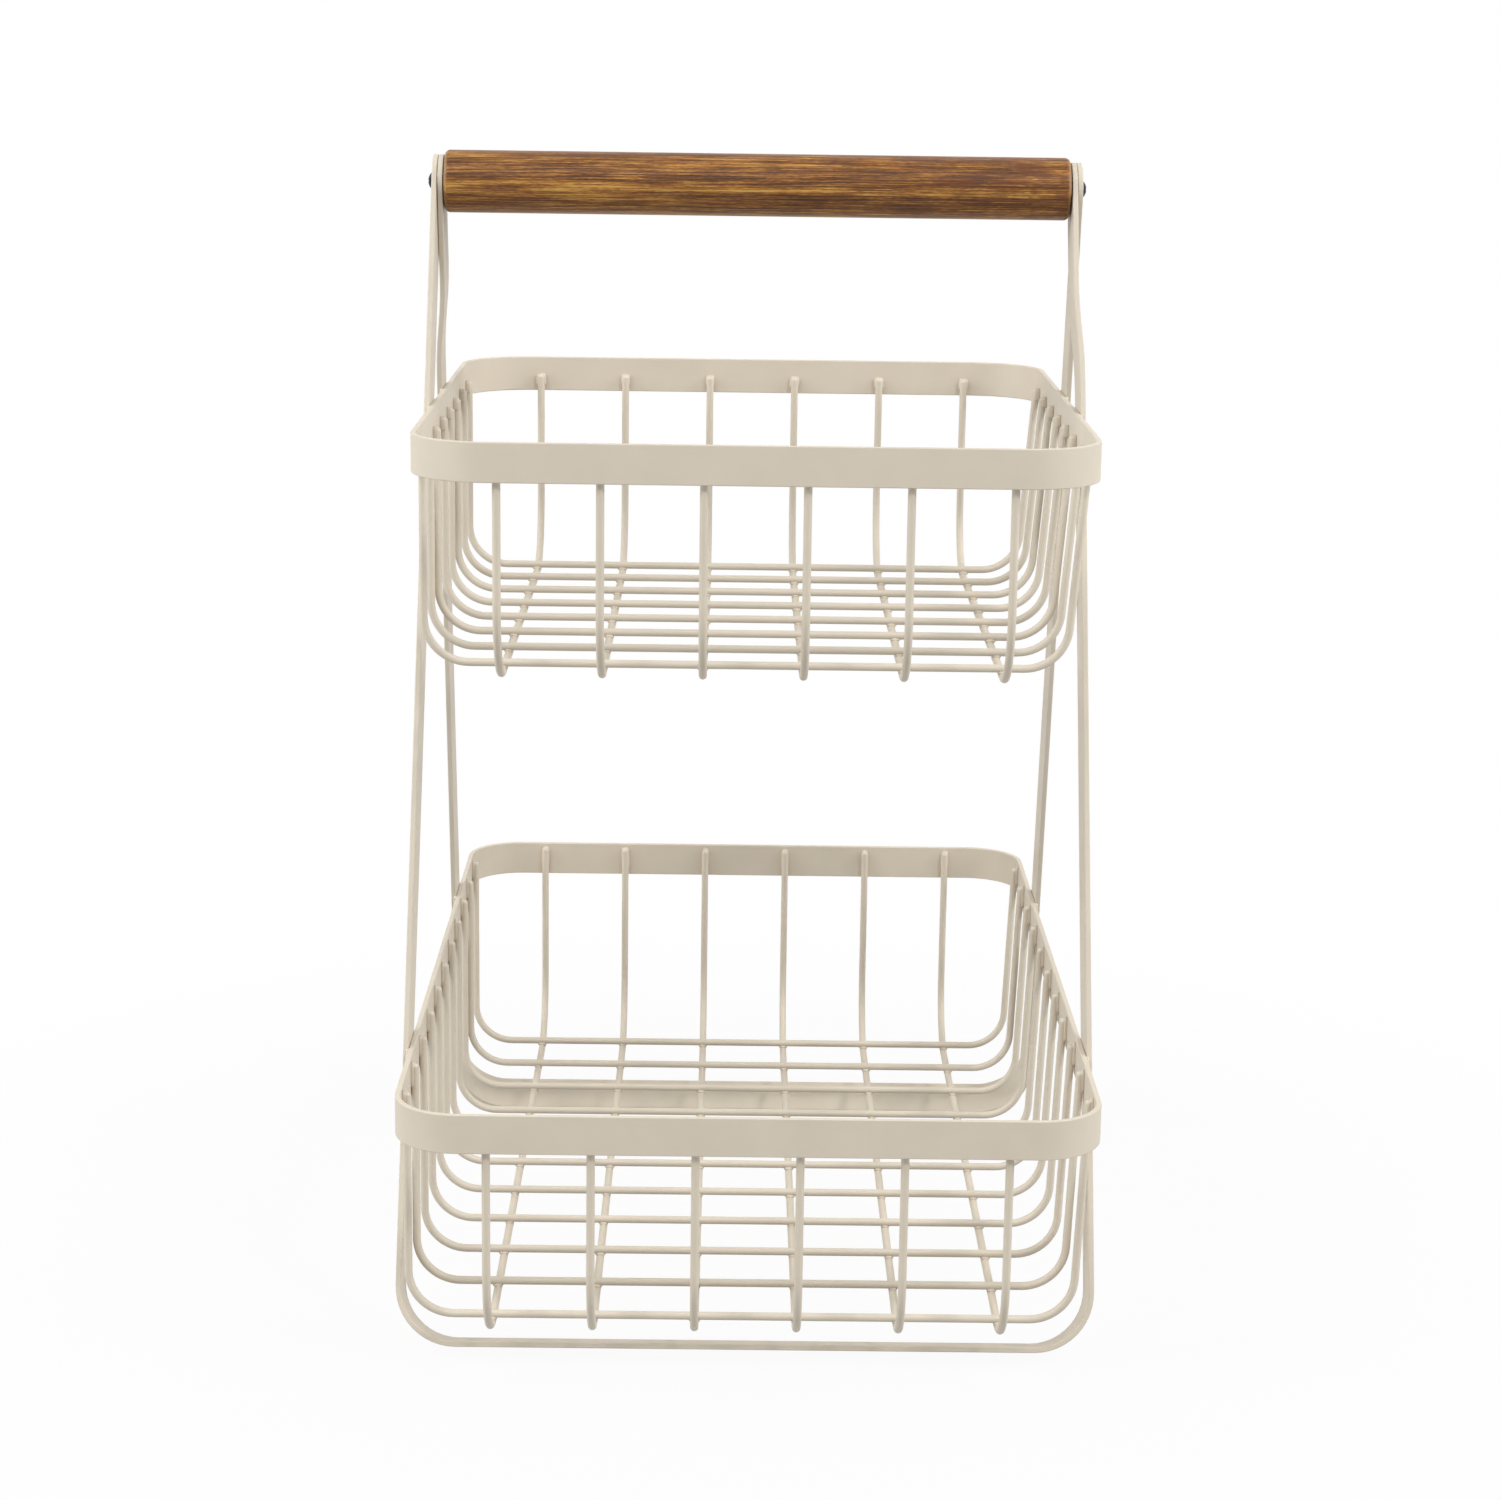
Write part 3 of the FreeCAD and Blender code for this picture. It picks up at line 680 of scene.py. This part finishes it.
def add_bead(mesh, half_sizes, stretch, placing):
    """A rounded bead of weld, drawn out by a stretch along its own Z and then placed."""
    made = bmesh.ops.create_uvsphere(mesh, u_segments=BEAD_SIDES, v_segments=BEAD_RINGS, radius=1.0)
    points = made["verts"]
    bmesh.ops.scale(mesh, vec=half_sizes, verts=points)
    touch = half_sizes.z / 100
    bmesh.ops.translate(mesh, vec=(0, 0, stretch), verts=[p for p in points if p.co.z > touch])
    bmesh.ops.translate(mesh, vec=(0, 0, -stretch), verts=[p for p in points if p.co.z < -touch])
    bmesh.ops.transform(mesh, matrix=placing, verts=points)


# How far a pad stands above its wire's end, and how far it sinks into the rim
PAD_RISE = 0.4 * MILLIMETRE
PAD_SINK = 0.3 * MILLIMETRE
# Rounding of a pad's edges as a share of its half sizes
PAD_ROUND = 0.45
# The seed and the range of the pads' sizes, and how far each may be turned either way, in radians
PAD_SEED = 11
PAD_SWELL = (0.92, 1.08)
PAD_TILT = 0.09


def add_pad(mesh, half_sizes, placing):
    """A flat pad with round edges that reaches its half sizes from its middle, and is then placed."""
    points = bmesh.ops.create_cube(mesh, size=2.0)["verts"]
    edges = list({edge for point in points for edge in point.link_edges})
    made = bmesh.ops.bevel(
        mesh,
        geom=edges,
        offset=PAD_ROUND,
        offset_type="OFFSET",
        affect="EDGES",
        segments=2,
        profile=0.5,
        material=-1,
    )
    points = list({point for face in made["faces"] for point in face.verts})
    bmesh.ops.scale(mesh, vec=half_sizes, verts=points)
    bmesh.ops.transform(mesh, matrix=placing, verts=points)


def wires_of(tier, direction):
    """The boxes of one basket's long or cross wires."""
    start = f"{tier}_{direction}_wire_"
    return [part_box(name) for name in WIRES if name.startswith(start)]


def middle(box):
    """The middle of a box."""
    return (box[0] + box[1]) / 2


def wire_ends(tier):
    """Each wire end's place on the rim of one basket, with the turn that points a pad's Y axis into
    the basket."""
    ends = []
    for low, high in wires_of(tier, "long"):
        across = (low.x + high.x) / 2
        ends.append((Vector((across, low.y, high.z)), 0))
        ends.append((Vector((across, high.y, high.z)), math.pi))
    for low, high in wires_of(tier, "cross"):
        along = (low.y + high.y) / 2
        ends.append((Vector((low.x, along, high.z)), -math.pi / 2))
        ends.append((Vector((high.x, along, high.z)), math.pi / 2))
    return ends


class BASKET_OT_coat_hoops(bpy.types.Operator):
    """Powder coat the two strap hoops"""

    bl_idname = "basket.coat_hoops"
    bl_label = "Coat the hoops"

    def execute(self, context):
        dress(HOOPS, coat_material(context))
        return {"FINISHED"}


class BASKET_OT_coat_rims(bpy.types.Operator):
    """Powder coat the two rims"""

    bl_idname = "basket.coat_rims"
    bl_label = "Coat the rims"

    def execute(self, context):
        dress(RIMS, coat_material(context))
        return {"FINISHED"}


class BASKET_OT_coat_wires(bpy.types.Operator):
    """Powder coat the wires of both baskets"""

    bl_idname = "basket.coat_wires"
    bl_label = "Coat the wires"

    def execute(self, context):
        dress(WIRES, coat_material(context))
        return {"FINISHED"}


class BASKET_OT_stain_grip(bpy.types.Operator):
    """Stain and lacquer the bamboo grip"""

    bl_idname = "basket.stain_grip"
    bl_label = "Stain the grip"

    def execute(self, context):
        dress((GRIP,), stained_bamboo(context.scene.basket_bamboo))
        return {"FINISHED"}


class BASKET_OT_blacken_screws(bpy.types.Operator):
    """Give the two screws their black oxide"""

    bl_idname = "basket.blacken_screws"
    bl_label = "Blacken the screws"

    def execute(self, context):
        dress(SCREWS, black_oxide(context.scene.basket_screw))
        return {"FINISHED"}


class BASKET_OT_weld_crossings(bpy.types.Operator):
    """Add a bead of weld wherever a cross wire lies on a long wire"""

    bl_idname = "basket.weld_crossings"
    bl_label = "Weld the crossings"

    def execute(self, context):
        half_width = context.scene.basket_weld.crossing
        chance = random.Random(CROSSING_SEED)
        for tier in TIERS:
            mesh = bmesh.new()
            for cross in wires_of(tier, "cross"):
                for long in wires_of(tier, "long"):
                    contact = Vector((middle(long).x, middle(cross).y, cross[0].z))
                    swell = chance.uniform(*CROSSING_SWELL)
                    half_sizes = half_width * swell * CROSSING_SHAPE
                    add_bead(mesh, half_sizes, 0, Matrix.Translation(contact))
            finish_welds(context, f"{tier}_crossing_welds", mesh)
        return {"FINISHED"}


class BASKET_OT_weld_wire_ends(bpy.types.Operator):
    """Press every wire end into a flat pad on the inside of the rims"""

    bl_idname = "basket.weld_wire_ends"
    bl_label = "Weld the wire ends"

    def execute(self, context):
        weld = context.scene.basket_weld
        chance = random.Random(PAD_SEED)
        for tier in TIERS:
            width, depth, height = getattr(weld, f"{tier}_pad")
            mesh = bmesh.new()
            for end, turn in wire_ends(tier):
                half_sizes = Vector((width, depth + PAD_SINK, height)) / 2
                half_sizes *= chance.uniform(*PAD_SWELL)
                centre = Vector((0, half_sizes.y - PAD_SINK, PAD_RISE - half_sizes.z))
                tilt = Matrix.Rotation(chance.uniform(-PAD_TILT, PAD_TILT), 4, "Y")
                inwards = Matrix.Translation(end) @ Matrix.Rotation(turn, 4, "Z")
                add_pad(mesh, half_sizes, inwards @ Matrix.Translation(centre) @ tilt)
            finish_welds(context, f"{tier}_wire_end_welds", mesh)
        return {"FINISHED"}


class BASKET_OT_weld_hoops(bpy.types.Operator):
    """Add beads of weld along both edges of the straps where they cross the rims"""

    bl_idname = "basket.weld_hoops"
    bl_label = "Weld the hoops"

    def execute(self, context):
        weld = context.scene.basket_weld
        half_sizes = weld.strap * STRAP_BEAD_SHAPE
        offset = STRAP_BEAD_OFFSET * weld.strap
        edge = (weld.strap_width / 2 + offset) / math.cos(weld.hoop_tilt)
        mesh = bmesh.new()
        for rim in RIMS:
            low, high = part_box(rim)
            centre = middle((low, high))
            depth = GRIP_AXIS.z - centre.z
            reach = (high.z - low.z) / 2 / math.cos(weld.hoop_tilt) - weld.strap
            # Each hoop leans its own way and crosses both sides of the rim, with two edges to each strap
            for lean in (-1, 1):
                strap_middle = lean * depth * math.tan(weld.hoop_tilt)
                turn = Matrix.Rotation(lean * weld.hoop_tilt, 4, "X")
                for x in (low.x - offset, high.x + offset):
                    for side in (-1, 1):
                        place = Vector((x, strap_middle + side * edge, centre.z))
                        add_bead(mesh, half_sizes, reach, Matrix.Translation(place) @ turn)
        finish_welds(context, "hoop_welds", mesh)
        return {"FINISHED"}


# Studio

# Half the width of the floor
FLOOR_HALF = 8.0
# Each light's power setting, place and size; the smaller one in front gives the clearer shadows
LIGHTS = {
    "left_front_light": ("front_power", Vector((-2.3, -3.0, 4.0)), 2.3),
    "right_front_light": ("front_power", Vector((2.3, -3.0, 4.0)), 0.9),
    "left_side_light": ("side_power", Vector((-1.9, -0.2, 1.25)), 1.2),
    "right_side_light": ("side_power", Vector((1.9, -0.2, 1.25)), 1.2),
}
# Where the lights point
AIM = Vector((0, 0, 0.22))
# Width of the camera's sensor in millimetres, and how near and how far it sees
SENSOR_WIDTH = 36
NEAREST, FURTHEST = (0.01, 100)


def add_floor(context, studio):
    """A wide sheet of white paper under the basket."""
    mesh = bmesh.new()
    bmesh.ops.create_grid(mesh, x_segments=1, y_segments=1, size=FLOOR_HALF)
    floor = add_object(context, "floor", mesh, studio_floor(studio))


def add_light(context, name, place, size, power):
    """A square soft light that points at the basket."""
    data = bpy.data.lights.new(name, "AREA")
    data.shape = "SQUARE"
    data.size = size
    data.energy = power
    lamp = bpy.data.objects.new(name, data)
    lamp.location = place
    lamp.rotation_euler = (AIM - place).to_track_quat("-Z", "Y").to_euler()
    context.scene.collection.objects.link(lamp)


def add_camera(context, studio):
    """The camera, turned to the right, tilted down and rolled as the settings say."""
    data = bpy.data.cameras.new("camera")
    data.lens = studio.lens
    data.sensor_width = SENSOR_WIDTH
    data.clip_start = NEAREST
    data.clip_end = FURTHEST
    camera = bpy.data.objects.new("camera", data)
    turn = Matrix.Rotation(-studio.camera_yaw, 4, "Z")
    tilt = Matrix.Rotation(math.pi / 2 - studio.camera_pitch, 4, "X")
    roll = Matrix.Rotation(-studio.camera_roll, 4, "Z")
    camera.matrix_world = Matrix.Translation(studio.camera_place) @ turn @ tilt @ roll
    context.scene.collection.objects.link(camera)
    context.scene.camera = camera


class BASKET_OT_set_studio(bpy.types.Operator):
    """Set up the floor, the lights and the camera"""

    bl_idname = "basket.set_studio"
    bl_label = "Set up the studio"

    def execute(self, context):
        studio = context.scene.basket_studio
        add_floor(context, studio)
        context.scene.world = studio_world(studio)
        for name, (setting, place, size) in LIGHTS.items():
            add_light(context, name, place, size, getattr(studio, setting))
        add_camera(context, studio)
        context.scene.view_settings.view_transform = "Standard"
        return {"FINISHED"}


OPERATORS = (
    BASKET_OT_coat_hoops,
    BASKET_OT_coat_rims,
    BASKET_OT_coat_wires,
    BASKET_OT_stain_grip,
    BASKET_OT_blacken_screws,
    BASKET_OT_weld_crossings,
    BASKET_OT_weld_wire_ends,
    BASKET_OT_weld_hoops,
    BASKET_OT_set_studio,
)
SETTINGS = {
    "basket_coat": CoatSettings,
    "basket_bamboo": BambooSettings,
    "basket_screw": ScrewSettings,
    "basket_weld": WeldSettings,
    "basket_studio": StudioSettings,
}


class BASKET_PT_build(bpy.types.Panel):
    """The basket's settings and the steps that finish it"""

    bl_idname = "BASKET_PT_build"
    bl_label = "Tiered wire basket"
    bl_space_type = "VIEW_3D"
    bl_region_type = "UI"
    bl_category = "Basket"

    def draw(self, context):
        for name, group in SETTINGS.items():
            box = self.layout.box()
            box.label(text=group.__doc__)
            for setting in group.__annotations__:
                box.prop(getattr(context.scene, name), setting)
        for operator in OPERATORS:
            self.layout.operator(operator.bl_idname)


CLASSES = (*SETTINGS.values(), *OPERATORS, BASKET_PT_build)


def register():
    """Adds the settings, the steps and the panel to Blender."""
    for item in CLASSES:
        bpy.utils.register_class(item)
    for name, group in SETTINGS.items():
        setattr(bpy.types.Scene, name, PointerProperty(type=group))


def unregister():
    """Takes the settings, the steps and the panel out again."""
    for name in SETTINGS:
        delattr(bpy.types.Scene, name)
    for item in reversed(CLASSES):
        bpy.utils.unregister_class(item)


def main():
    """Finishes every piece and sets up the studio."""
    register()
    bpy.ops.basket.coat_hoops()
    bpy.ops.basket.coat_rims()
    bpy.ops.basket.coat_wires()
    bpy.ops.basket.stain_grip()
    bpy.ops.basket.blacken_screws()
    bpy.ops.basket.weld_crossings()
    bpy.ops.basket.weld_wire_ends()
    bpy.ops.basket.weld_hoops()
    bpy.ops.basket.set_studio()


if __name__ == "__main__":
    main()
